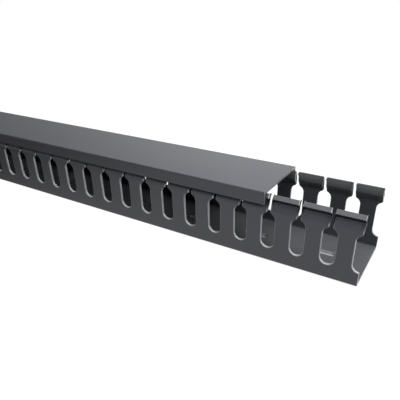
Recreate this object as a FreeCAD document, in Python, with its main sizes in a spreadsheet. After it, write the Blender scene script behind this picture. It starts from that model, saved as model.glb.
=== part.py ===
"""Slotted wire duct: a half metre length of rigid plastic trunking and its clip-on cover.

The duct is one extruded channel. Both walls are punched with keyhole slots that are open at the
top, which leaves a row of hammer-headed fingers. Each head leans inward and ends in a bead turned
back outward, and the cover's skirts snap over those beads.

Frame: X runs along the duct, Y across it, Z up. The origin is on the underside of the base, in the
middle of the length and of the width.
"""
import FreeCAD, Part
import math
import os
import Sketcher

# Driving sizes in millimetres and degrees: alias, value.
SIZES = [
    # stock and section
    ("stock_length", 500.0),
    ("duct_width", 52.0),
    ("wall_thickness", 1.8),
    ("base_thickness", 1.8),
    ("base_corner_radius", 1.2),
    ("inner_corner_radius", 0.8),
    # head of the wall: it leans inward, stands up again and ends in a bead turned outward
    ("bend_height", 36.6),
    ("bend_radius", 3.0),
    ("lean_angle", 35.0),
    ("recess_depth", 3.2),
    ("recess_height", 3.15),
    ("bead_height", 2.3),
    ("bead_inset", 1.65),
    ("bead_width", 2.1),
    ("bead_edge_bevel", 0.5),
    ("bead_back_drop", 1.5),
    # slots between the fingers
    ("slot_pitch", 20.0),
    ("slot_width", 9.4),
    ("slot_bottom", 9.8),
    ("slot_top", 35.4),
    ("neck_width", 2.4),
    # oblong holes in the base
    ("hole_length", 17.0),
    ("hole_width", 5.0),
    ("hole_spacing", 50.0),
    ("hole_setback", 29.5),
    # cover
    ("cover_thickness", 1.7),
    ("cover_corner_radius", 0.9),
    ("cover_setback", 63.3),
    ("skirt_thickness", 1.3),
    ("skirt_depth", 8.7),
    ("snap_rib_reach", 1.3),
    ("snap_rib_height", 1.4),
    ("fit_clearance", 0.3),
]


def make_sheet(doc):
    """Spreadsheet of the driving sizes; every sketch and feature is bound to it."""
    sheet = doc.addObject("Spreadsheet::Sheet", "Sizes")
    for row, (alias, value) in enumerate(SIZES, start=1):
        sheet.set("A%d" % row, alias)
        sheet.set("B%d" % row, str(value))
        sheet.setAlias("B%d" % row, alias)
    doc.recompute()
    return sheet


def size(alias):
    return "Sizes." + alias


def origin_plane(body, role):
    return next(plane for plane in body.Origin.OriginFeatures if plane.Role == role)


def new_sketch(body, name, role):
    sketch = body.newObject("Sketcher::SketchObject", name)
    sketch.AttachmentSupport = [(origin_plane(body, role), "")]
    sketch.MapMode = "FlatFace"
    return sketch


def bind(sketch, constraint, expression):
    """Adds a dimension and ties it to the sheet."""
    index = sketch.addConstraint(constraint)
    sketch.setExpression("Constraints[%d]" % index, expression)
    return index


def outline(sketch, corners):
    """Closed outline through corners (x, y, radius), each an expression; radius None is sharp."""
    points = [
        FreeCAD.Vector(sketch.evalExpression(x), sketch.evalExpression(y), 0)
        for x, y, radius in corners
    ]
    count = len(corners)
    for i in range(count):
        sketch.addGeometry(Part.LineSegment(points[i], points[(i + 1) % count]), False)
    for i, (x, y, radius) in enumerate(corners):
        sketch.addConstraint(Sketcher.Constraint("Coincident", (i - 1) % count, 2, i, 1))
        bind(sketch, Sketcher.Constraint("DistanceX", -1, 1, i, 1, points[i].x), x)
        bind(sketch, Sketcher.Constraint("DistanceY", -1, 1, i, 1, points[i].y), y)
    for i, (x, y, radius) in enumerate(corners):
        if radius is None:
            continue
        value = sketch.evalExpression(radius)
        arc = sketch.GeometryCount
        sketch.fillet(i, 1, value, True, True)
        bind(sketch, Sketcher.Constraint("Radius", arc, value), radius)


def mirrored(half):
    """Whole outline of a symmetric section from its +Y half, listed from the outside inward."""
    left = [("-(" + y + ")", z, radius) for y, z, radius in reversed(half)]
    return half + left


def inward(depth):
    """Distance from the middle plane to a line so far inside the wall's outer face."""
    return "Sizes.duct_width / 2 - (" + depth + ")"


def recess_foot():
    """Height at which the leaning head stands up again."""
    return "Sizes.bend_height + Sizes.recess_depth / tan(Sizes.lean_angle * 1deg)"


def bead_underside():
    return recess_foot() + " + Sizes.recess_height"


def bead_top():
    return bead_underside() + " + Sizes.bead_height"


def make_duct(doc):
    """Channel, slots and base holes, in the order in which the stock is made."""
    body = doc.addObject("PartDesign::Body", "duct")
    body.Label = "duct"

    # Extruded section: base, walls, leaning heads and beads.
    wall = size("wall_thickness")
    recess = size("recess_depth")
    bead = size("bead_inset")
    foot = recess_foot()
    underside = bead_underside()
    top = bead_top()
    shift = "Sizes.wall_thickness * tan(Sizes.lean_angle * 0.5deg)"
    bend = size("bend_height")
    bevel = size("bead_edge_bevel")
    turn = size("bend_radius")
    half = [
        (inward("0"), "0", size("base_corner_radius")),
        (inward("0"), bend, turn),
        (inward(recess), foot, None),
        (inward(recess), underside, None),
        (inward(bead + " + " + bevel), underside, None),
        (inward(bead), underside + " + " + bevel, None),
        (inward(bead), top + " - " + bevel, None),
        (inward(bead + " + " + bevel), top, None),
        (inward(bead + " + Sizes.bead_width"), top, None),
        (inward(recess + " + " + wall), top + " - Sizes.bead_back_drop", None),
        (inward(recess + " + " + wall), foot + " - " + shift, None),
        (inward(wall), bend + " - " + shift, turn),
        (inward(wall), size("base_thickness"), size("inner_corner_radius")),
    ]
    section = new_sketch(body, "channel_section", "YZ_Plane")
    outline(section, mirrored(half))
    channel = body.newObject("PartDesign::Pad", "channel")
    channel.Profile = section
    channel.SideType = "Symmetric"
    channel.setExpression("Length", size("stock_length"))
    doc.recompute()

    # One keyhole slot through both walls, at the cut end, then repeated along the stock.
    keyhole = new_sketch(body, "keyhole", "XZ_Plane")
    keyhole_outline(keyhole)
    slot = body.newObject("PartDesign::Pocket", "slot")
    slot.Profile = keyhole
    slot.Type = "ThroughAll"
    slot.SideType = "Symmetric"
    doc.recompute()
    slots = body.newObject("PartDesign::LinearPattern", "slots")
    slots.Originals = [slot]
    slots.Direction = (keyhole, ["H_Axis"])
    slots.Reversed = True
    slots.Mode = "Spacing"
    slots.setExpression("Offset", size("slot_pitch"))
    slots.setExpression("Occurrences", "trunc(Sizes.stock_length / Sizes.slot_pitch) + 1")
    body.Tip = slots
    doc.recompute()

    # Oblong fixing holes on the base's middle line.
    oblong = new_sketch(body, "oblong", "XY_Plane")
    oblong_outline(oblong)
    hole = body.newObject("PartDesign::Pocket", "hole")
    hole.Profile = oblong
    hole.Type = "ThroughAll"
    hole.Reversed = True
    doc.recompute()
    holes = body.newObject("PartDesign::LinearPattern", "holes")
    holes.Originals = [hole]
    holes.Direction = (oblong, ["H_Axis"])
    holes.Reversed = True
    holes.Mode = "Spacing"
    holes.setExpression("Offset", size("hole_spacing"))
    last_room = "Sizes.stock_length - Sizes.hole_setback - Sizes.hole_length"
    holes.setExpression("Occurrences", "trunc((" + last_room + ") / Sizes.hole_spacing) + 1")
    body.Tip = holes
    doc.recompute()
    return body


def keyhole_outline(sketch):
    """Slot with two round ends on the cut end's line, its crown opened by a straight neck."""
    middle = "Sizes.stock_length / 2"
    half_slot = "Sizes.slot_width / 2"
    half_neck = "Sizes.neck_width / 2"
    low = "Sizes.slot_bottom + Sizes.slot_width / 2"
    high = "Sizes.slot_top - Sizes.slot_width / 2"
    clear_top = bead_top() + " + Sizes.fit_clearance"
    x = sketch.evalExpression(middle)
    radius = sketch.evalExpression(half_slot)
    neck = sketch.evalExpression(half_neck)
    bottom = sketch.evalExpression(low)
    crown = sketch.evalExpression(high)
    top = sketch.evalExpression(clear_top)
    opened = math.acos(neck / radius)
    step = crown + radius * math.sin(opened)
    normal = FreeCAD.Vector(0, 0, 1)

    def arc(z, start, end):
        circle = Part.Circle(FreeCAD.Vector(x, z, 0), normal, radius)
        sketch.addGeometry(Part.ArcOfCircle(circle, start, end), False)

    def line(x1, z1, x2, z2):
        ends = FreeCAD.Vector(x1, z1, 0), FreeCAD.Vector(x2, z2, 0)
        sketch.addGeometry(Part.LineSegment(*ends), False)

    arc(bottom, math.pi, 2 * math.pi)
    line(x + radius, bottom, x + radius, crown)
    arc(crown, 0, opened)
    line(x + neck, step, x + neck, top)
    line(x + neck, top, x - neck, top)
    line(x - neck, top, x - neck, step)
    arc(crown, math.pi - opened, math.pi)
    line(x - radius, crown, x - radius, bottom)
    for first, end, second, start in ((0, 2, 1, 1), (1, 2, 2, 1), (6, 2, 7, 1), (7, 2, 0, 1)):
        sketch.addConstraint(Sketcher.Constraint("Tangent", first, end, second, start))
    for first in (2, 3, 4, 5):
        sketch.addConstraint(Sketcher.Constraint("Coincident", first, 2, first + 1, 1))
    for upright in (1, 3, 5, 7):
        sketch.addConstraint(Sketcher.Constraint("Vertical", upright))
    sketch.addConstraint(Sketcher.Constraint("Horizontal", 4))
    bind(sketch, Sketcher.Constraint("Radius", 0, radius), half_slot)
    for curve, height, z in ((0, low, bottom), (2, high, crown), (6, high, crown)):
        bind(sketch, Sketcher.Constraint("DistanceX", -1, 1, curve, 3, x), middle)
        bind(sketch, Sketcher.Constraint("DistanceY", -1, 1, curve, 3, z), height)
    bind(sketch, Sketcher.Constraint("DistanceX", -1, 1, 3, 2, x + neck), middle + " + " + half_neck)
    bind(sketch, Sketcher.Constraint("DistanceX", -1, 1, 4, 2, x - neck), middle + " - " + half_neck)
    bind(sketch, Sketcher.Constraint("DistanceY", -1, 1, 3, 2, top), clear_top)


def oblong_outline(sketch):
    """Two straight sides and two round ends, centred one setback from the visible cut end."""
    centre = "Sizes.stock_length / 2 - Sizes.hole_setback"
    reach = "(Sizes.hole_length - Sizes.hole_width) / 2"
    radius = sketch.evalExpression("Sizes.hole_width / 2")
    near = sketch.evalExpression(centre + " + " + reach)
    far = sketch.evalExpression(centre + " - " + reach)
    normal = FreeCAD.Vector(0, 0, 1)
    quarter = math.pi / 2
    right_circle = Part.Circle(FreeCAD.Vector(near, 0, 0), normal, radius)
    left_circle = Part.Circle(FreeCAD.Vector(far, 0, 0), normal, radius)
    sketch.addGeometry(Part.ArcOfCircle(right_circle, -quarter, quarter), False)
    sketch.addGeometry(Part.ArcOfCircle(left_circle, quarter, 3 * quarter), False)
    sketch.addGeometry(
        Part.LineSegment(FreeCAD.Vector(near, radius, 0), FreeCAD.Vector(far, radius, 0)), False
    )
    sketch.addGeometry(
        Part.LineSegment(FreeCAD.Vector(far, -radius, 0), FreeCAD.Vector(near, -radius, 0)), False
    )
    sketch.addConstraint(Sketcher.Constraint("Tangent", 0, 2, 2, 1))
    sketch.addConstraint(Sketcher.Constraint("Tangent", 2, 2, 1, 1))
    sketch.addConstraint(Sketcher.Constraint("Tangent", 1, 2, 3, 1))
    sketch.addConstraint(Sketcher.Constraint("Tangent", 3, 2, 0, 1))
    sketch.addConstraint(Sketcher.Constraint("Equal", 0, 1))
    sketch.addConstraint(Sketcher.Constraint("PointOnObject", 0, 3, -1))
    sketch.addConstraint(Sketcher.Constraint("PointOnObject", 1, 3, -1))
    bind(sketch, Sketcher.Constraint("Radius", 0, radius), "Sizes.hole_width / 2")
    bind(sketch, Sketcher.Constraint("DistanceX", -1, 1, 0, 3, near), centre + " + " + reach)
    bind(sketch, Sketcher.Constraint("DistanceX", -1, 1, 1, 3, far), centre + " - " + reach)


def make_cover(doc):
    """Flat cover with two skirts; a rib inside each skirt snaps under the bead."""
    body = doc.addObject("PartDesign::Body", "cover")
    body.Label = "cover"

    underside = bead_top() + " + Sizes.fit_clearance"
    top = underside + " + Sizes.cover_thickness"
    skirt = size("skirt_thickness")
    skirt_end = top + " - Sizes.skirt_depth"
    rib = skirt + " + Sizes.snap_rib_reach"
    rib_top = bead_underside() + " - Sizes.fit_clearance"
    rib_foot = rib_top + " - Sizes.snap_rib_height"
    rib_nose = rib_top + " - Sizes.snap_rib_height / 3"
    half = [
        (inward("0"), skirt_end, None),
        (inward("0"), top, size("cover_corner_radius")),
    ]
    inside = [
        (inward(skirt), underside, None),
        (inward(skirt), rib_top, None),
        (inward(rib), rib_top, None),
        (inward(rib), rib_nose, None),
        (inward(skirt), rib_foot, None),
        (inward(skirt), skirt_end, None),
    ]
    section = new_sketch(body, "cover_section", "YZ_Plane")
    left_outer = [("-(" + y + ")", z, radius) for y, z, radius in reversed(half)]
    left_inside = [("-(" + y + ")", z, radius) for y, z, radius in reversed(inside)]
    outline(section, half + left_outer + left_inside + inside)
    plate = body.newObject("PartDesign::Pad", "plate")
    plate.Profile = section
    plate.SideType = "Symmetric"
    plate.setExpression("Length", size("stock_length"))
    body.Placement = FreeCAD.Placement()
    body.setExpression("Placement.Base.x", "-Sizes.cover_setback")
    doc.recompute()
    return body


def check(doc, parts):
    """Stops at the first failed object or bad shape."""
    for item in doc.Objects:
        for word in ("Invalid", "Error"):
            if word in item.State:
                raise RuntimeError("%s is %s" % (item.Name, item.State))
    for part in parts:
        shape = part.Shape
        if shape.isNull() or not shape.isValid():
            raise RuntimeError("%s has no valid shape" % part.Label)
        if len(shape.Solids) != 1:
            raise RuntimeError("%s has %d solids" % (part.Label, len(shape.Solids)))


def main():
    doc = FreeCAD.newDocument("slotted_wire_duct")
    make_sheet(doc)
    parts = [make_duct(doc), make_cover(doc)]
    doc.recompute()
    check(doc, parts)
    os.makedirs("parts", exist_ok=True)
    for part in parts:
        part.Shape.exportStep("parts/%s.step" % part.Label)
        box = part.Shape.BoundBox
        print(
            "%s volume %.1f mm3, X %.1f..%.1f, Y %.2f..%.2f, Z %.2f..%.2f"
            % (part.Label, part.Shape.Volume, box.XMin, box.XMax, box.YMin, box.YMax,
               box.ZMin, box.ZMax)
        )


main()
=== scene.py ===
"""Looks of a slotted wire duct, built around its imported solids.

Laid out as an add-on and run as a script: main() registers the classes and calls one operator for
each piece and one for the stage. Sizes are metres in the part's own frame: X along the duct,
Y across it, Z up, and the underside of the base at Z = 0.
"""

import math

import bmesh
import bpy
from bpy.props import FloatProperty, FloatVectorProperty, PointerProperty
from mathutils import Matrix, Vector
from mathutils.geometry import tessellate_polygon


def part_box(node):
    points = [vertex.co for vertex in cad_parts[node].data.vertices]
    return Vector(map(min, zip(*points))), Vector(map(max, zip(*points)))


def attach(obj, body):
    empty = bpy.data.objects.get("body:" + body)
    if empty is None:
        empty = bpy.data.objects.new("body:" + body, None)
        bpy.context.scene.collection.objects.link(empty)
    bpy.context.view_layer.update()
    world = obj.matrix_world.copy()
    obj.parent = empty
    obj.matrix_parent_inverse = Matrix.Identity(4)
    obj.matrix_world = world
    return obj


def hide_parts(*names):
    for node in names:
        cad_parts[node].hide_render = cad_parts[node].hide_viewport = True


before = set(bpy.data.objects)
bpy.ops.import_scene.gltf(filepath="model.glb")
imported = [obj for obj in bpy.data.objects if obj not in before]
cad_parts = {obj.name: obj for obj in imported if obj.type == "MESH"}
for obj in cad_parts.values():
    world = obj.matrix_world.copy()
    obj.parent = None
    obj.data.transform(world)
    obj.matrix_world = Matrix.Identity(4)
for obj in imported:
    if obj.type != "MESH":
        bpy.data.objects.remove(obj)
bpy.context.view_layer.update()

bl_info = {
    "name": "Slotted wire duct",
    "version": (1, 0, 0),
    "blender": (4, 5, 0),
    "location": "3D View > Sidebar > Wire duct",
    "description": "Builds a punched plastic wiring duct, its clip-on cover and a pale stage",
    "category": "Object",
}

DUCT_LOW, DUCT_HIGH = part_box("duct")
COVER_LOW, COVER_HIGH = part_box("cover")

MM = 0.001
# Largest turn between two points of an arc, and the points on half of a fixing hole's outline.
ARC_STEP = math.radians(11.0)
HOLE_STEPS = 16
# Corners nearer than the grid are one corner of a cage; the weld joins neighbouring fingers.
POINT_GRID = 1e-7
WELD = 0.02 * MM
# The nose of the cover's rib, as shares of the rib's height counted down from its top.
NOSE_LOW, NOSE_HIGH = 0.7, 0.5
# Gap between the floor and the duct's underside.
FLOOR_GAP = 0.1 * MM

# Finish of a face, kept with the mesh until its material reads it.
SKIN, PUNCHED, SAWN = 0, 1, 2

# Patterns of the plastic and the floor: how fast each changes along X, Y and Z, in 1/m.
STREAKS = (2.0, 420.0, 420.0)
DRAW_LINES = (1.5, 1900.0, 1900.0)
WAVES = (9.0, 22.0, 22.0)
CLOUDS = (14.0, 30.0, 30.0)
SCUFFS = (60.0, 900.0, 300.0)
SPECKS = (700.0, 700.0, 700.0)
FUZZ = (900.0, 900.0, 900.0)
GRAIN = (2600.0, 2600.0, 2600.0)
MOTTLE = (6.0, 6.0, 6.0)
WAVE_DEPTH = 1.6 * MM
FINE_DEPTH = 0.01 * MM

# Heights from and to which the inside gets more scuffed, and faces that look down get painted
# shadow.
SCUFFED_FADE = (30 * MM, 40 * MM)
BEAD_SHADOW_FADE = (38 * MM, 40 * MM)
# Height over which the outer faces turn rubbed.
RUBBED_FADE = 0.2 * MM

# Where the floor changes: metres from the middle, to the right of it and behind it.
FAR_FLOOR_FADE = (0.4, 0.8)
RIGHT_FLOOR_FADE = (-0.2, 0.2)
BACK_FLOOR_FADE = (0.0, 0.1)
# Where the surroundings change: parts of a direction upward, to the right and to the back.
SKY_FADE = (0.45, 0.95)
HIGH_FADE = (0.3, 0.5)
RIGHT_FADE = (-0.95, -0.35)
BACK_FADE = (-0.2, 0.3)


# Settings.


def length(name, description, millimetres):
    return FloatProperty(
        name=name, description=description, default=millimetres * MM, unit="LENGTH", precision=5
    )


def angle(name, description, degrees):
    return FloatProperty(
        name=name, description=description, default=math.radians(degrees), subtype="ANGLE"
    )


def share(name, description, value):
    return FloatProperty(name=name, description=description, default=value, subtype="FACTOR")


def amount(name, description, value, unit="NONE"):
    return FloatProperty(name=name, description=description, default=value, unit=unit)


def colour(name, description, value):
    return FloatVectorProperty(
        name=name, description=description, default=value, subtype="COLOR", size=3, min=0, max=1
    )


class WIREDUCT_PG_channel(bpy.types.PropertyGroup):
    """Section, slots and fixing holes of the channel."""

    wall: length("Wall", "Thickness of the two walls", 1.8)
    base: length("Base", "Thickness of the base", 1.8)
    outer_round: length("Outer round", "Radius under each wall, outside", 1.2)
    inner_round: length("Inner round", "Radius under each wall, inside", 0.8)
    bend_height: length("Bend height", "Height at which the wall starts to lean inward", 36.6)
    bend_radius: length("Bend radius", "Outer radius of that bend", 3.0)
    inner_bend: length("Inner bend", "Inner radius of that bend", 4.0)
    lean: angle("Lean", "How far the wall above the bend leans from upright", 35)
    recess_depth: length("Recess depth", "Depth of the groove under the bead", 3.2)
    recess_height: length("Recess height", "From the groove's foot up to the bead", 3.15)
    groove_turn: length("Groove turn", "From the groove's foot up to its deepest line", 0.55)
    groove_round: length("Groove round", "Radius of the groove's deepest line", 0.6)
    bead_height: length("Bead height", "Height of the bead on each head", 2.3)
    bead_inset: length("Bead inset", "From the wall's outer face in to the bead", 1.65)
    bead_width: length("Bead width", "Width of the bead's slope, from its lip to its crest", 2.1)
    bead_lip: length("Bead lip", "Upright height of the bead's lower edge", 0.25)
    bead_crest: length("Bead crest", "Width of the bead's level top", 0.7)
    bead_back_drop: length("Bead back drop", "Fall of the bead's slope on the inner side", 2.8)
    bead_round: length("Bead round", "Radius between the bead's slope and its level top", 0.7)
    crest_round: length("Crest round", "Radius between the level top and the inner slope", 0.42)
    lip_round: length("Lip round", "Radius of the bead's lower edge", 0.15)
    pitch: length("Slot pitch", "From one slot to the next", 20.0)
    slot_width: length("Slot width", "Width of a slot between two fingers", 9.4)
    slot_bottom: length("Slot bottom", "Height of the slots' lower edge", 9.8)
    slot_top: length("Slot top", "Height of the slots' round crown", 35.4)
    neck_width: length("Neck width", "Gap between two heads", 2.4)
    neck_round: length("Neck round", "Radius where the gap starts", 1.2)
    hole_length: length("Hole length", "Length of an oblong fixing hole", 17.0)
    hole_width: length("Hole width", "Width of an oblong fixing hole", 5.0)
    hole_spacing: length("Hole spacing", "From one fixing hole to the next", 50.0)
    hole_setback: length("Hole setback", "From the open end to the first hole's middle", 29.5)
    roll: length("Rolled edge", "Radius that the punch leaves on the outer edges", 0.36)
    inner_roll: share("Inner edges", "Their radius as a share of the outer edges' radius", 0.35)
    sawn_roll: share("Sawn edges", "Their radius as a share of the outer edges' radius", 0.25)


class WIREDUCT_PG_cover(bpy.types.PropertyGroup):
    """Section of the cover."""

    thickness: length("Thickness", "Thickness of the flat top", 1.7)
    corner_round: length("Corner round", "Radius of the two top corners", 0.9)
    skirt: length("Skirt", "Thickness of the skirts", 1.3)
    rib_reach: length("Rib reach", "How far the rib stands in from the skirt", 1.0)
    rib_height: length("Rib height", "Height of that rib", 1.4)
    clearance: length("Clearance", "Gap between the rib and the bead", 0.3)
    edge_round: length("Edge round", "Radius of the small edges", 0.2)


class WIREDUCT_PG_finish(bpy.types.PropertyGroup):
    """Colours of the plastic and the floor."""

    plastic: colour("Plastic", "Skin of the extruded plastic", (0.042, 0.0415, 0.051))
    streak: colour("Streaks", "Paler streaks along the extrusion", (0.052, 0.0515, 0.063))
    cut: colour("Cut plastic", "Whitened plastic where it was punched or sawn", (0.55, 0.55, 0.57))
    dust: colour("Dust", "Dust and fine scuffs", (0.16, 0.16, 0.16))
    # Painted shadow: a near-black colour for the undersides of the beads, where their shadow
    # falls.
    bead_shadow: colour("Bead shadow", "Dark dirt on the undersides of the beads", (0.004, 0.004, 0.005))
    floor: colour("Floor", "Pale floor, apart from the glow that it adds", (0.14, 0.14, 0.14))
    beneath: colour("Beneath", "Floor seen through the fixing holes", (0.4, 0.4, 0.4))
    channel_white: share("Channel edges", "How white the channel's rolled edges are", 0.6)
    cover_white: share("Cover edges", "How white the edges of the cover's ends are", 0.3)


class WIREDUCT_PG_stage(bpy.types.PropertyGroup):
    """Camera, floor and lamps."""

    azimuth: angle("Azimuth", "Camera's turn from straight in front", 32.02)
    elevation: angle("Elevation", "Camera's tilt above the floor", 28.60)
    roll: angle("Roll", "Camera's turn about its own axis", 1.05)
    place: FloatVectorProperty(
        name="Place",
        description="Where the camera stands, counted from the duct's open end on the floor",
        default=(0.03611, -0.25185, 0.16032),
        subtype="TRANSLATION",
        size=3,
    )
    focal: amount("Focal length", "Lens on a 36 mm frame", 38.87, "CAMERA")
    shift: FloatVectorProperty(
        name="Shift",
        description="Camera's shift to the side and up, as shares of the picture's width",
        default=(-0.02, 0.06),
        size=2,
    )
    floor_side: length("Floor side", "Side of the square floor", 12000.0)
    floor_fade: length("Floor fade", "Width of the floor's change at the duct's sides", 4.0)
    sky: amount("Sky", "Strength of the surroundings high above the object", 0.6)
    horizon: amount("Horizon", "Strength of the surroundings near the floor", 0.09)
    far_left: amount("Far left", "Brightness that the gloss mirrors at the far left", 0.14)
    front: amount("Front", "Brightness that the gloss mirrors above the front", 0.25)
    glow: amount("Glow", "Brightness that the floor adds to its own shade in view", 0.91)
    key: amount("Key", "Power of the lamp above the front", 4.4, "POWER")
    back: amount("Back", "Power of the lamp above the back", 1.8, "POWER")
    side: amount("Side", "Power of the lamp above the open end", 7.5, "POWER")
    daylight: colour("Daylight", "Tint of the lamps and the surroundings", (0.94, 0.98, 1.0))


class WIREDUCT_PG_all(bpy.types.PropertyGroup):
    """All settings of the duct's looks."""

    channel: PointerProperty(type=WIREDUCT_PG_channel)
    cover: PointerProperty(type=WIREDUCT_PG_cover)
    finish: PointerProperty(type=WIREDUCT_PG_finish)
    stage: PointerProperty(type=WIREDUCT_PG_stage)


# Section outlines.


def rounded(corners):
    """Open path through corners ((across, up), radius), with each radius as an arc."""
    path = [Vector(corners[0][0])]
    for i in range(1, len(corners) - 1):
        point, radius = Vector(corners[i][0]), corners[i][1]
        to_last = (Vector(corners[i - 1][0]) - point).normalized()
        to_next = (Vector(corners[i + 1][0]) - point).normalized()
        half = to_last.angle(to_next) / 2
        centre = point + (to_last + to_next).normalized() * (radius / math.sin(half))
        arm = point + to_last * (radius / math.tan(half)) - centre
        turn = math.pi - 2 * half
        if to_last.x * to_next.y - to_last.y * to_next.x > 0:
            turn = -turn
        steps = max(2, math.ceil(abs(turn) / ARC_STEP))
        path += [centre + Matrix.Rotation(turn * k / steps, 2) @ arm for k in range(steps + 1)]
    path.append(Vector(corners[-1][0]))
    return path


def crown_centre(c):
    """Height of the middle of a slot's round upper end."""
    return c.slot_top - c.slot_width / 2


def neck_corner(c):
    """(half width, height) of the middle of the round corner between crown and neck."""
    across = c.neck_width / 2 + c.neck_round
    reach = c.slot_width / 2 + c.neck_round
    return Vector((across, crown_centre(c) + math.sqrt(reach ** 2 - across ** 2)))


def wall_path(c):
    """(depth, height) up the outside of a finger, over its bead and down the inside."""
    foot = c.bend_height
    crest = foot + c.recess_depth / math.tan(c.lean)
    under = crest + c.recess_height
    top = under + c.bead_height
    turn = crest + c.groove_turn
    shift = c.wall * math.tan(c.lean / 2)
    back = c.recess_depth + c.wall
    return rounded([
        ((0, crown_centre(c)), 0),
        ((0, foot), c.bend_radius),
        (((turn - foot) * math.tan(c.lean), turn), c.groove_round),
        ((c.bead_inset, under), c.lip_round),
        ((c.bead_inset, under + c.bead_lip), c.lip_round),
        ((c.bead_inset + c.bead_width, top), c.bead_round),
        ((c.bead_inset + c.bead_width + c.bead_crest, top), c.crest_round),
        ((back, top - c.bead_back_drop), c.inner_bend),
        ((back, crest - shift), c.inner_bend),
        ((c.wall, foot - shift), c.inner_bend),
        ((c.wall, crown_centre(c)), 0),
    ])


def depth_at(path, height):
    """Depth of a rising path at a height."""
    for (d0, z0), (d1, z1) in zip(path, path[1:]):
        if z0 <= height <= z1:
            return d0 + (d1 - d0) * (height - z0) / (z1 - z0)
    return path[0].x


def head_middle(c, height):
    """Depth of the line midway between the head's two faces."""
    lean = (height - c.bend_height) * math.tan(c.lean)
    return min(max(lean, 0), c.recess_depth) + c.wall / 2


def arc(centre, radius, start, end):
    """Points on an arc about a centre, from one angle to another."""
    steps = max(2, math.ceil(abs(end - start) / ARC_STEP))
    turns = [start + (end - start) * k / steps for k in range(steps + 1)]
    return [centre + Vector((math.cos(turn), math.sin(turn))) * radius for turn in turns]


def keyhole_path(c):
    """(half width, height) up one side of a slot, from the middle of its lower edge."""
    half_slot = c.slot_width / 2
    crown = Vector((0, crown_centre(c)))
    corner = neck_corner(c)
    touch = (corner - crown).angle(Vector((1, 0)))
    return (
        arc(Vector((0, c.slot_bottom + half_slot)), half_slot, -math.pi / 2, 0)
        + arc(crown, half_slot, 0, touch)
        + arc(corner, c.neck_round, touch + math.pi, math.pi)[1:]
    )


def foot_paths(c):
    """(depth, height) round the outer and the inner corner between wall and base."""
    outer = rounded([
        ((0, c.slot_bottom), 0),
        ((0, 0), c.outer_round),
        ((2 * c.outer_round, 0), 0),
    ])
    inner = rounded([
        ((c.wall, c.slot_bottom), 0),
        ((c.wall, c.base), c.inner_round),
        ((c.wall + 2 * c.inner_round, c.base), 0),
    ])
    return outer, inner


# Meshes.


class Cage:
    """A mesh under construction whose faces share the corners that lie in one place."""

    def __init__(self):
        self.mesh = bmesh.new()
        self.finish = self.mesh.faces.layers.int.new("finish")
        self.weight = self.mesh.edges.layers.float.new("bevel_weight_edge")
        self.corners = {}

    def corner(self, point):
        """The mesh's corner at a point, made when it is first asked for."""
        key = tuple(round(value / POINT_GRID) for value in point)
        if key not in self.corners:
            self.corners[key] = self.mesh.verts.new(point)
        return self.corners[key]

    def face(self, points, finish=SKIN):
        made = self.mesh.faces.new([self.corner(point) for point in points])
        made[self.finish] = finish

    def soften(self, rolled):
        """Gives each edge where two finishes meet its share of the rolled radius."""
        for edge in self.mesh.edges:
            if len({made[self.finish] for made in edge.link_faces}) > 1:
                edge[self.weight] = rolled(edge)

    def object(self, name):
        """Ends the cage and returns it as an object of the scene."""
        mesh = bpy.data.meshes.new(name)
        bmesh.ops.recalc_face_normals(self.mesh, faces=self.mesh.faces)
        self.mesh.to_mesh(mesh)
        self.mesh.free()
        made = bpy.data.objects.new(name, mesh)
        bpy.context.scene.collection.objects.link(made)
        return made


def finger_cage(c):
    """One finger of the front wall and the strip under it, one pitch long, about X = 0."""
    cage = Cage()
    half = c.pitch / 2
    outer_face = DUCT_LOW.y
    key = keyhole_path(c)
    wall = wall_path(c)
    outside, inside = wall, wall[::-1]
    outer_foot, inner_foot = foot_paths(c)
    crown, neck = crown_centre(c), key[-1].y

    def at(x, depth, height):
        return (x, outer_face + depth, height)

    # The strip's two round corners, then the flat faces of strip and stem.
    for foot in (outer_foot[1:], inner_foot[1:]):
        for (d0, z0), (d1, z1) in zip(foot, foot[1:]):
            cage.face([at(-half, d0, z0), at(half, d0, z0), at(half, d1, z1), at(-half, d1, z1)])
    stem = [(s, z) for s, z in key if z <= crown + POINT_GRID]
    for depth, low in ((0, outer_foot[1].y), (c.wall, inner_foot[1].y)):
        right = [at(half - s, depth, z) for s, z in stem]
        left = [at(s - half, depth, z) for s, z in reversed(stem)]
        cage.face([at(-half, depth, low), at(half, depth, low)] + right + left)
    # The cut sides along both slots and, above the crown, the two faces between them.
    for (s0, z0), (s1, z1) in zip(key, key[1:]):
        out0, out1 = depth_at(outside, z0), depth_at(outside, z1)
        in0, in1 = depth_at(inside, z0), depth_at(inside, z1)
        for side in (-1, 1):
            x0, x1 = side * (half - s0), side * (half - s1)
            cut = [at(x0, out0, z0), at(x0, in0, z0), at(x1, in1, z1), at(x1, out1, z1)]
            cage.face(cut, PUNCHED)
        if z0 >= crown - POINT_GRID:
            x0, x1 = half - s0, half - s1
            for d0, d1 in ((out0, out1), (in0, in1)):
                cage.face([at(-x0, d0, z0), at(x0, d0, z0), at(x1, d1, z1), at(-x1, d1, z1)])
    # The head: its section drawn from one cut side to the other.
    head = [Vector((depth_at(outside, neck), neck))]
    head += [point for point in wall if point.y > neck + POINT_GRID]
    head.append(Vector((depth_at(inside, neck), neck)))
    reach = half - c.neck_width / 2
    for (d0, z0), (d1, z1) in zip(head, head[1:]):
        cage.face([at(-reach, d0, z0), at(reach, d0, z0), at(reach, d1, z1), at(-reach, d1, z1)])
    for side in (-1, 1):
        cage.face([at(side * reach, d, z) for d, z in head], PUNCHED)

    def rolled(edge):
        middle = (edge.verts[0].co + edge.verts[1].co) / 2
        return 1.0 if middle.y - outer_face < head_middle(c, middle.z) else c.inner_roll

    cage.soften(rolled)
    return cage.object("finger_cage")


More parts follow.
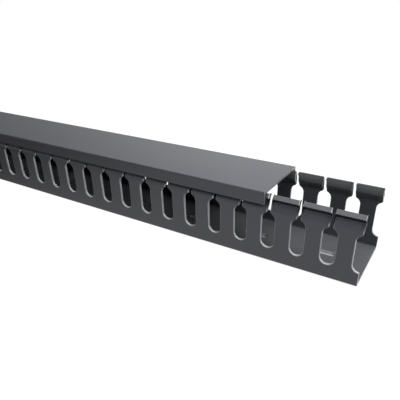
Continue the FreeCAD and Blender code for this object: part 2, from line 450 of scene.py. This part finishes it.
def oblong(middle, c):
    """Outline of one fixing hole."""
    radius = c.hole_width / 2
    reach = c.hole_length / 2 - radius
    points = []
    for end, start in ((1, -math.pi / 2), (-1, math.pi / 2)):
        for k in range(HOLE_STEPS + 1):
            turn = start + math.pi * k / HOLE_STEPS
            points.append(
                (middle + end * reach + radius * math.cos(turn), radius * math.sin(turn))
            )
    return points


def hole_middles(c):
    """X of the middle of each fixing hole, from the open end on."""
    first = DUCT_HIGH.x - c.hole_setback
    room = first - c.hole_length - DUCT_LOW.x
    return [first - k * c.hole_spacing for k in range(int(room / c.hole_spacing) + 1)]


def plate_cage(c, fingers):
    """The base between the two walls, with its fixing holes, and the sawn ends."""
    cage = Cage()
    outer_foot, inner_foot = foot_paths(c)
    stations = [DUCT_LOW.x + k * c.pitch for k in range(fingers + 1)]
    holes = [oblong(middle, c) for middle in hole_middles(c)]
    for depth, height in (outer_foot[-1], inner_foot[-1]):
        side = DUCT_HIGH.y - depth
        rim = [(x, -side) for x in stations] + [(x, side) for x in reversed(stations)]
        loops = [[Vector((x, y, 0)) for x, y in loop] for loop in [rim] + holes]
        points = [(x, y, height) for loop in [rim] + holes for x, y in loop]
        for triangle in tessellate_polygon(loops):
            cage.face([points[i] for i in triangle])
    for hole in holes:
        for (x0, y0), (x1, y1) in zip(hole, hole[1:] + hole[:1]):
            cage.face([(x0, y0, 0), (x1, y1, 0), (x1, y1, c.base), (x0, y0, c.base)], PUNCHED)
    for x in (DUCT_LOW.x, DUCT_HIGH.x):
        front_out = [(x, DUCT_LOW.y + d, z) for d, z in outer_foot]
        front_in = [(x, DUCT_LOW.y + d, z) for d, z in reversed(inner_foot)]
        back_out = [(x, -y, z) for x, y, z in reversed(front_out)]
        back_in = [(x, -y, z) for x, y, z in reversed(front_in)]
        cage.face(front_out + back_out + back_in + front_in, SAWN)
    cage.soften(lambda edge: c.inner_roll)
    for edge in cage.mesh.edges:
        if any(made[cage.finish] == SAWN for made in edge.link_faces):
            edge[cage.weight] = c.sawn_roll
    return cage.object("plate_cage")


def evaluated_mesh(piece):
    """The piece's mesh with its modifiers applied, as a mesh of its own."""
    graph = bpy.context.evaluated_depsgraph_get()
    return bpy.data.meshes.new_from_object(
        piece.evaluated_get(graph), preserve_all_data_layers=True, depsgraph=graph
    )


def apply_modifiers(piece):
    """Keeps what the modifiers make and removes them."""
    mesh = evaluated_mesh(piece)
    piece.modifiers.clear()
    piece.data = mesh


def close_and_turn_out(piece):
    """Turns every face outward and stops if the mesh isn't closed."""
    work = bmesh.new()
    work.from_mesh(piece.data)
    open_edges = [edge for edge in work.edges if not edge.is_manifold]
    if open_edges:
        raise RuntimeError("%s has %d open edges" % (piece.name, len(open_edges)))
    bmesh.ops.recalc_face_normals(work, faces=work.faces)
    work.to_mesh(piece.data)
    work.free()


def roll_edges(piece, radius):
    """Rounds the weighted edges and keeps the flat faces flat in the shading.

    The new round faces get the second material slot, by which mark_finishes knows them.
    """
    for _ in range(2):
        piece.data.materials.append(None)
    bevel = piece.modifiers.new("roll", "BEVEL")
    bevel.limit_method = "WEIGHT"
    bevel.width = radius
    bevel.segments = 3
    bevel.use_clamp_overlap = False
    bevel.material = 1
    piece.data.shade_smooth()
    flat = piece.modifiers.new("flat", "WEIGHTED_NORMAL")
    flat.keep_sharp = True
    apply_modifiers(piece)


def mark_finishes(piece, rolled_white):
    """Turns each face's finish and side into the three numbers that the plastic reads.

    A face counts as inner where it looks toward the middle of the channel's section.
    """
    mesh = piece.data
    for name in ("punched", "sawn", "inner"):
        mesh.attributes.new(name, "FLOAT", "FACE")
    finish, punched, sawn, inner = (
        mesh.attributes[name].data for name in ("finish", "punched", "sawn", "inner")
    )
    for face in mesh.polygons:
        to_middle = Vector((0, -face.center.y, DUCT_HIGH.z / 2 - face.center.z))
        inner[face.index].value = 1.0 if face.normal.dot(to_middle) > 0 else 0.0
        kind = finish[face.index].value
        if face.material_index == 1:
            punched[face.index].value = rolled_white
        else:
            punched[face.index].value = 1.0 if kind == PUNCHED else 0.0
            sawn[face.index].value = 1.0 if kind == SAWN else 0.0
        face.material_index = 0
    mesh.materials.clear()


# Nodes.


class Nodes:
    """A node tree and the one way in which its nodes are added."""

    def __init__(self, tree):
        self.tree = tree

    def add(self, kind, settings=None, inputs=None):
        """Adds a node, sets it up, then fills its sockets with links or values."""
        node = self.tree.nodes.new(kind)
        for name, value in (settings or {}).items():
            setattr(node, name, value)
        for key, value in (inputs or {}).items():
            self.feed(node.inputs[key], value)
        return node

    def blend(self, factor, first, second):
        """Mixes two shaders; the second shows where the factor is 1."""
        return self.add("ShaderNodeMixShader", inputs={0: factor, 1: first, 2: second}).outputs[0]

    def feed(self, socket, value):
        """Links one or more outputs to a socket, or sets its own value."""
        for item in value if isinstance(value, list) else [value]:
            if isinstance(item, Number):
                item = item.socket
            if isinstance(item, bpy.types.NodeSocket):
                self.tree.links.new(item, socket)
            else:
                socket.default_value = item


class Number:
    """A socket that holds a number; arithmetic on it adds Math nodes."""

    def __init__(self, nodes, socket):
        self.nodes = nodes
        self.socket = socket

    def math(self, operation, *values):
        """Adds one Math node on the given values."""
        node = self.nodes.add(
            "ShaderNodeMath", {"operation": operation}, dict(enumerate(values))
        )
        return Number(self.nodes, node.outputs[0])

    def __add__(self, other):
        return self.math("ADD", self, other)

    __radd__ = __add__

    def __sub__(self, other):
        return self.math("SUBTRACT", self, other)

    def __rsub__(self, other):
        return self.math("SUBTRACT", other, self)

    def __mul__(self, other):
        return self.math("MULTIPLY", self, other)

    __rmul__ = __mul__

    def clamp(self):
        """The number, kept between 0 and 1."""
        return self.math("MINIMUM", self.math("MAXIMUM", self, 0.0), 1.0)

    def step(self, low, high):
        """0 below low, 1 above high and smooth between."""
        node = self.nodes.add(
            "ShaderNodeMapRange",
            {"interpolation_type": "SMOOTHSTEP"},
            {"Value": self, "From Min": low, "From Max": high},
        )
        return Number(self.nodes, node.outputs[0])


def finger_rows_tree():
    """Node group: repeats one finger along both walls, adds the base and welds it all."""
    tree = bpy.data.node_groups.new("Finger rows", "GeometryNodeTree")
    tree.is_modifier = True
    tree.interface.new_socket("Geometry", in_out="OUTPUT", socket_type="NodeSocketGeometry")
    for name, kind in (
        ("Geometry", "NodeSocketGeometry"),
        ("Base", "NodeSocketObject"),
        ("Fingers", "NodeSocketInt"),
        ("Pitch", "NodeSocketFloat"),
        ("Weld", "NodeSocketFloat"),
        ("Plastic", "NodeSocketMaterial"),
    ):
        tree.interface.new_socket(name, in_out="INPUT", socket_type=kind)
    nodes = Nodes(tree)
    inlet = nodes.add("NodeGroupInput").outputs
    fingers, pitch = Number(nodes, inlet["Fingers"]), Number(nodes, inlet["Pitch"])
    first = (1 - fingers) * pitch * 0.5
    start = nodes.add("ShaderNodeCombineXYZ", inputs={"X": first}).outputs[0]
    along = nodes.add("ShaderNodeCombineXYZ", inputs={"X": pitch}).outputs[0]
    line = nodes.add(
        "GeometryNodeMeshLine",
        {"mode": "OFFSET"},
        {"Count": inlet["Fingers"], "Start Location": start, "Offset": along},
    )
    front = nodes.add(
        "GeometryNodeInstanceOnPoints",
        inputs={"Points": line.outputs[0], "Instance": inlet["Geometry"]},
    )
    back = nodes.add(
        "GeometryNodeTransform",
        inputs={"Geometry": front.outputs[0], "Rotation": (0, 0, math.pi)},
    )
    base = nodes.add("GeometryNodeObjectInfo", inputs={"Object": inlet["Base"]})
    joined = nodes.add(
        "GeometryNodeJoinGeometry",
        inputs={"Geometry": [front.outputs[0], back.outputs[0], base.outputs["Geometry"]]},
    )
    real = nodes.add("GeometryNodeRealizeInstances", inputs={"Geometry": joined.outputs[0]})
    welded = nodes.add(
        "GeometryNodeMergeByDistance",
        inputs={"Geometry": real.outputs[0], "Distance": inlet["Weld"]},
    )
    coated = nodes.add(
        "GeometryNodeSetMaterial",
        inputs={"Geometry": welded.outputs[0], "Material": inlet["Plastic"]},
    )
    nodes.add("NodeGroupOutput", inputs={"Geometry": coated.outputs[0]})
    return tree


def run_tree(piece, tree, values):
    """Runs a node group on a piece with its named inputs set, and keeps the result as a mesh."""
    modifier = piece.modifiers.new(tree.name, "NODES")
    modifier.node_group = tree
    for item in tree.interface.items_tree:
        if item.in_out == "INPUT" and item.name in values:
            modifier[item.identifier] = values[item.name]
    apply_modifiers(piece)


# Materials.


class Paint(Nodes):
    """A material's nodes, with the patterns that the plastics share."""

    def __init__(self, name):
        self.material = bpy.data.materials.new(name)
        self.material.use_nodes = True
        super().__init__(self.material.node_tree)
        self.tree.nodes.clear()
        self.place = self.add("ShaderNodeTexCoord").outputs["Object"]

    def noise(self, scale, detail=2.0, roughness=0.5):
        """Noise on Object coordinates that are stretched by three factors, in 1/m."""
        stretched = self.add(
            "ShaderNodeVectorMath", {"operation": "MULTIPLY"}, {0: self.place, 1: scale}
        )
        node = self.add(
            "ShaderNodeTexNoise",
            inputs={
                "Vector": stretched.outputs[0],
                "Scale": 1.0,
                "Detail": detail,
                "Roughness": roughness,
            },
        )
        return Number(self, node.outputs["Fac"])

    def attribute(self, name):
        """A number that the mesh carries for each face."""
        node = self.add("ShaderNodeAttribute", {"attribute_name": name})
        return Number(self, node.outputs["Fac"])

    def axis(self, name, vector):
        """One part of a vector."""
        node = self.add("ShaderNodeSeparateXYZ", inputs={"Vector": vector})
        return Number(self, node.outputs[name])

    def mix(self, factor, first, second):
        """Mixes two colours; the second shows where the factor is 1."""
        node = self.add("ShaderNodeMix", {"data_type": "RGBA"}, {"Factor": factor})
        colours = [socket for socket in node.inputs if socket.type == "RGBA"]
        for socket, value in zip(colours, (first, second)):
            self.feed(socket, value)
        return next(socket for socket in node.outputs if socket.type == "RGBA")

    def bump(self, height, distance, below=None):
        """Relief of a height pattern, on top of the relief below it."""
        inputs = {"Height": height, "Distance": distance, "Strength": 1.0}
        if below is not None:
            inputs["Normal"] = below
        return self.add("ShaderNodeBump", inputs=inputs).outputs[0]

    def emission(self, brightness):
        """White light of a brightness at which 1 is white in the picture."""
        inputs = {"Color": (1, 1, 1, 1), "Strength": brightness}
        return self.add("ShaderNodeEmission", inputs=inputs).outputs[0]

    def finish(self, surface):
        """Links the surface to the output and returns the material."""
        self.add("ShaderNodeOutputMaterial", inputs={"Surface": surface})
        return self.material


def opaque(rgb):
    """A colour with full alpha, as the sockets want it."""
    return (rgb[0], rgb[1], rgb[2], 1.0)


def extruded_plastic(name, finish, rubbed_from):
    """Dark rigid plastic: streaks along X, whitened cuts, dust, scuffs, and painted shadow under
    the beads.

    The outer faces are rubbed paler from the height rubbed_from on. The inside has no gloss layer.
    """
    paint = Paint(name)
    punched = paint.attribute("punched")
    sawn = paint.attribute("sawn")
    inner = paint.attribute("inner")
    upward = paint.axis("Z", paint.add("ShaderNodeNewGeometry").outputs["Normal"])
    height = paint.axis("Z", paint.place)
    streaks = paint.noise(STREAKS, 3.0, 0.6)
    clouds = paint.noise(CLOUDS, 3.0, 0.55)
    grain = paint.noise(GRAIN, 2.0, 0.6)
    fuzz = paint.noise(FUZZ, 3.0, 0.65)

    tone = (streaks * 0.6 + clouds * 0.6 - 0.1).clamp()
    skin = paint.mix(tone, opaque(finish.plastic), opaque(finish.streak))

    specks = paint.noise(SPECKS, 2.0, 0.7).step(0.66, 0.78)
    scuffs = paint.noise(SCUFFS, 3.0, 0.7).step(0.62, 0.82) * clouds.step(0.45, 0.7)
    dusty = upward.step(0.5, 0.95) * (specks * 0.35 + scuffs * 0.25)
    settled = upward.step(0.9, 0.98) * inner * (0.25 + 0.2 * clouds)
    high = height.step(rubbed_from, rubbed_from + RUBBED_FADE)
    rubbed = high * (1 - inner) * (0.04 + 0.2 * fuzz)
    scuffed = inner * (0.2 + 0.5 * height.step(*SCUFFED_FADE))
    dusty = (dusty + settled + rubbed + scuffed).clamp()
    skin = paint.mix(dusty, skin, opaque(finish.dust))

    # Painted shadow: outer faces that look down from about 38 mm up, the undersides of the beads,
    # turn nearly black and keep little of their gloss layer.
    under_bead_shadow = (0 - upward).step(0.2, 0.5) * height.step(*BEAD_SHADOW_FADE) * (1 - inner)
    skin = paint.mix(under_bead_shadow * 0.85, skin, opaque(finish.bead_shadow))

    cut = (punched * (0.55 + 0.75 * fuzz) + sawn * (0.1 + 0.4 * fuzz)).clamp()
    base = paint.mix(cut, skin, opaque(finish.cut))

    roughness = (0.28 + 0.08 * clouds + 0.08 * grain + 0.22 * cut + 0.15 * dusty).clamp()
    normal = paint.bump(paint.noise(WAVES, 1.0, 0.4), WAVE_DEPTH)
    normal = paint.bump(paint.noise(DRAW_LINES, 2.0, 0.6), FINE_DEPTH, normal)
    normal = paint.bump(grain * 0.5 + fuzz * cut * 4.0, FINE_DEPTH, normal)
    shader = paint.add(
        "ShaderNodeBsdfPrincipled",
        inputs={
            "Base Color": base,
            "Roughness": roughness,
            "Normal": normal,
            "IOR": 1.5,
            "Specular IOR Level": 0.1,
            "Coat Weight": (1 - inner - under_bead_shadow * 0.8).clamp(),
            "Coat Roughness": 0.3,
            "Coat IOR": 1.5,
        },
    )
    return paint.finish(shader.outputs[0])


def pale_floor(settings):
    """Pale floor that is white in view and keeps the object's shadow.

    Gloss mirrors it too, but dimmer at the far left in front. Beneath the duct it adds no glow.
    """
    paint = Paint("pale_floor")
    stage, floor = settings.stage, settings.finish.floor
    along, across = paint.axis("X", paint.place), paint.axis("Y", paint.place)
    beneath = 1
    for place, edge in ((along, DUCT_HIGH.x), (across, DUCT_HIGH.y)):
        past = place.math("ABSOLUTE", place).step(edge - stage.floor_fade, edge)
        beneath = beneath * (1 - past)
    mottled = paint.noise(MOTTLE, 2.0) * 0.1
    shade = paint.mix(mottled, opaque(floor), opaque([0.9 * value for value in floor]))
    shade = paint.mix(beneath, shade, opaque(settings.finish.beneath))
    body = paint.add("ShaderNodeBsdfDiffuse", inputs={"Color": shade}).outputs[0]
    glow = paint.emission(stage.glow)
    lit = paint.add("ShaderNodeAddShader", inputs={0: body, 1: glow}).outputs[0]
    reach = paint.add("ShaderNodeVectorMath", {"operation": "LENGTH"}, {0: paint.place})
    far = Number(paint, reach.outputs["Value"]).step(*FAR_FLOOR_FADE)
    open_floor = paint.blend(far, lit, paint.emission(1.0))
    right, behind = along.step(*RIGHT_FLOOR_FADE), across.step(*BACK_FLOOR_FADE)
    bright = right.math("MAXIMUM", right, behind)
    mirrored = paint.blend(bright, paint.emission(stage.far_left), open_floor)
    path = paint.add("ShaderNodeLightPath").outputs
    camera, through, glossy = (
        Number(paint, path[f"Is {kind} Ray"]) for kind in ("Camera", "Transmission", "Glossy")
    )
    surface = paint.blend((camera + through).clamp() * (1 - beneath), body, open_floor)
    return paint.finish(paint.blend(glossy * (1 - beneath), surface, mirrored))


# Operators.


class WIREDUCT_OT_channel(bpy.types.Operator):
    """Build the punched channel with its two rows of fingers"""

    bl_idname = "wireduct.channel"
    bl_label = "Channel"

    def execute(self, context):
        settings = context.scene.wire_duct
        c = settings.channel
        fingers = round((DUCT_HIGH.x - DUCT_LOW.x) / c.pitch)
        plastic = extruded_plastic("duct_plastic", settings.finish, DUCT_HIGH.z - c.bead_height)
        channel = finger_cage(c)
        plate = plate_cage(c, fingers)
        run_tree(channel, finger_rows_tree(), {
            "Base": plate,
            "Fingers": fingers,
            "Pitch": c.pitch,
            "Weld": WELD,
            "Plastic": plastic,
        })
        bpy.data.objects.remove(plate)
        channel.name = "wire_channel"
        channel.data.materials.clear()
        close_and_turn_out(channel)
        roll_edges(channel, c.roll)
        mark_finishes(channel, settings.finish.channel_white)
        channel.data.materials.append(plastic)
        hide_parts("duct")
        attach(channel, "duct")
        return {"FINISHED"}


def cover_path(cover, channel):
    """(across, up) round the +Y half of the cover's section, from its top to its underside."""
    edge = cover.edge_round
    side, top, skirt_end = COVER_HIGH.y, COVER_HIGH.z, COVER_LOW.z
    inside = side - cover.skirt
    nose = inside - cover.rib_reach
    rib_top = DUCT_HIGH.z - channel.bead_height - cover.clearance
    return rounded([
        ((0, top), 0),
        ((side, top), cover.corner_round),
        ((side, skirt_end), edge),
        ((inside, skirt_end), edge),
        ((inside, rib_top - cover.rib_height), edge),
        ((nose, rib_top - NOSE_LOW * cover.rib_height), edge),
        ((nose, rib_top - NOSE_HIGH * cover.rib_height), edge),
        ((inside, rib_top), edge / 2),
        ((inside, top - cover.thickness), edge),
        ((0, top - cover.thickness), 0),
    ])


class WIREDUCT_OT_cover(bpy.types.Operator):
    """Build the clip-on cover"""

    bl_idname = "wireduct.cover"
    bl_label = "Cover"

    def execute(self, context):
        settings = context.scene.wire_duct
        half = cover_path(settings.cover, settings.channel)
        ring = [(y, z) for y, z in half] + [(-y, z) for y, z in reversed(half[1:-1])]
        cage = Cage()
        low, high = COVER_LOW.x, COVER_HIGH.x
        for (y0, z0), (y1, z1) in zip(ring, ring[1:] + ring[:1]):
            cage.face([(low, y0, z0), (high, y0, z0), (high, y1, z1), (low, y1, z1)])
        for x in (low, high):
            cage.face([(x, y, z) for y, z in ring], SAWN)
        cage.soften(lambda edge: settings.channel.sawn_roll)
        cover = cage.object("cover_strip")
        close_and_turn_out(cover)
        roll_edges(cover, settings.channel.roll)
        mark_finishes(cover, settings.finish.cover_white)
        plastic = extruded_plastic("cover_plastic", settings.finish, COVER_HIGH.z)
        cover.data.materials.append(plastic)
        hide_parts("cover")
        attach(cover, "cover")
        return {"FINISHED"}


class WIREDUCT_OT_stage(bpy.types.Operator):
    """Build the floor, the surroundings, the lamps and the camera"""

    bl_idname = "wireduct.stage"
    bl_label = "Stage"

    def execute(self, context):
        settings = context.scene.wire_duct
        self.make_floor(settings)
        self.make_surroundings(settings.stage)
        self.make_lamps(settings.stage)
        self.make_camera(settings.stage)
        return {"FINISHED"}

    def make_floor(self, settings):
        """A square floor just under the duct."""
        side = settings.stage.floor_side / 2
        mesh = bpy.data.meshes.new("floor")
        signs = ((-1, -1), (1, -1), (1, 1), (-1, 1))
        corners = [(side * x, side * y, -FLOOR_GAP) for x, y in signs]
        mesh.from_pydata(corners, [], [(0, 1, 2, 3)])
        mesh.materials.append(pale_floor(settings))
        floor = bpy.data.objects.new("floor", mesh)
        bpy.context.scene.collection.objects.link(floor)

    def make_surroundings(self, stage):
        """White in view; as light, bright high above and dim near the floor.

        Gloss mirrors white surroundings that are dimmer at the far left and above the front.
        """
        world = bpy.data.worlds.new("pale_room")
        world.use_nodes = True
        bpy.context.scene.world = world
        nodes = Nodes(world.node_tree)
        world.node_tree.nodes.clear()

        def room(brightness, tint=(1, 1, 1)):
            inputs = {"Color": opaque(tint), "Strength": brightness}
            return nodes.add("ShaderNodeBackground", inputs=inputs).outputs[0]

        toward = nodes.add("ShaderNodeTexCoord").outputs["Generated"]
        parts = nodes.add("ShaderNodeSeparateXYZ", inputs={"Vector": toward}).outputs
        right, back, height = (Number(nodes, parts[axis]) for axis in "XYZ")
        path = nodes.add("ShaderNodeLightPath").outputs
        tint = stage.daylight
        light = nodes.blend(
            height.step(*SKY_FADE), room(stage.horizon, tint), room(stage.sky, tint)
        )
        mirrored = nodes.blend(right.step(*RIGHT_FADE), room(stage.far_left), room(1.0, tint))
        front = (1 - back.step(*BACK_FADE)) * height.step(*HIGH_FADE)
        mirrored = nodes.blend(front, mirrored, room(stage.front))
        light = nodes.blend(Number(nodes, path["Is Glossy Ray"]), light, mirrored)
        seen = Number(nodes, path["Is Camera Ray"]) + Number(nodes, path["Is Transmission Ray"])
        light = nodes.blend(seen.clamp(), light, room(1.0))
        nodes.add("ShaderNodeOutputWorld", inputs={"Surface": light})

    def make_lamps(self, stage):
        """Three square lamps that face the duct's open end."""
        end = Vector((DUCT_HIGH.x, 0, 0))
        # Name, power, side of the square and place as seen from the open end.
        for name, power, side, place in (
            ("front", stage.key, 0.75, (-0.05, -0.25, 0.9)),
            ("back", stage.back, 0.8, (0.1, 0.5, 0.8)),
            ("open_end", stage.side, 0.4, (0.8, -0.25, 0.75)),
        ):
            lamp = bpy.data.lights.new(name, "AREA")
            lamp.energy = power
            lamp.color = stage.daylight
            lamp.size = side
            made = bpy.data.objects.new(name, lamp)
            made.location = end + Vector(place)
            made.rotation_mode = "QUATERNION"
            made.rotation_quaternion = Vector(place).to_track_quat("Z", "Y")
            bpy.context.scene.collection.objects.link(made)

    def make_camera(self, stage):
        """The camera at the photograph's angle, near the duct's open end."""
        lens = bpy.data.cameras.new("camera")
        lens.lens = stage.focal
        lens.clip_start = 10 * MM
        lens.shift_x, lens.shift_y = stage.shift
        camera = bpy.data.objects.new("camera", lens)
        level = math.cos(stage.elevation)
        back = Vector((
            math.sin(stage.azimuth) * level,
            -math.cos(stage.azimuth) * level,
            math.sin(stage.elevation),
        ))
        turned = back.to_track_quat("Z", "Y").to_matrix() @ Matrix.Rotation(-stage.roll, 3, "Z")
        camera.rotation_mode = "QUATERNION"
        camera.rotation_quaternion = turned.to_quaternion()
        camera.location = Vector((DUCT_HIGH.x, 0, 0)) + Vector(stage.place)
        bpy.context.scene.collection.objects.link(camera)
        bpy.context.scene.camera = camera
        bpy.context.scene.view_settings.view_transform = "Standard"


class WIREDUCT_PT_panel(bpy.types.Panel):
    """The duct's operators and settings in the sidebar"""

    bl_label = "Wire duct"
    bl_idname = "WIREDUCT_PT_panel"
    bl_space_type = "VIEW_3D"
    bl_region_type = "UI"
    bl_category = "Wire duct"

    def draw(self, context):
        settings = context.scene.wire_duct
        for operator in OPERATORS:
            self.layout.operator(operator.bl_idname)
        for group in (settings.channel, settings.cover, settings.finish, settings.stage):
            box = self.layout.box()
            for name in group.bl_rna.properties.keys():
                if name not in ("rna_type", "name"):
                    box.prop(group, name)


OPERATORS = (WIREDUCT_OT_channel, WIREDUCT_OT_cover, WIREDUCT_OT_stage)
CLASSES = (
    WIREDUCT_PG_channel,
    WIREDUCT_PG_cover,
    WIREDUCT_PG_finish,
    WIREDUCT_PG_stage,
    WIREDUCT_PG_all,
    *OPERATORS,
    WIREDUCT_PT_panel,
)


def register():
    for item in CLASSES:
        bpy.utils.register_class(item)
    bpy.types.Scene.wire_duct = PointerProperty(type=WIREDUCT_PG_all)


def unregister():
    del bpy.types.Scene.wire_duct
    for item in reversed(CLASSES):
        bpy.utils.unregister_class(item)


def main():
    register()
    bpy.ops.wireduct.channel()
    bpy.ops.wireduct.cover()
    bpy.ops.wireduct.stage()


if __name__ == "__main__":
    main()
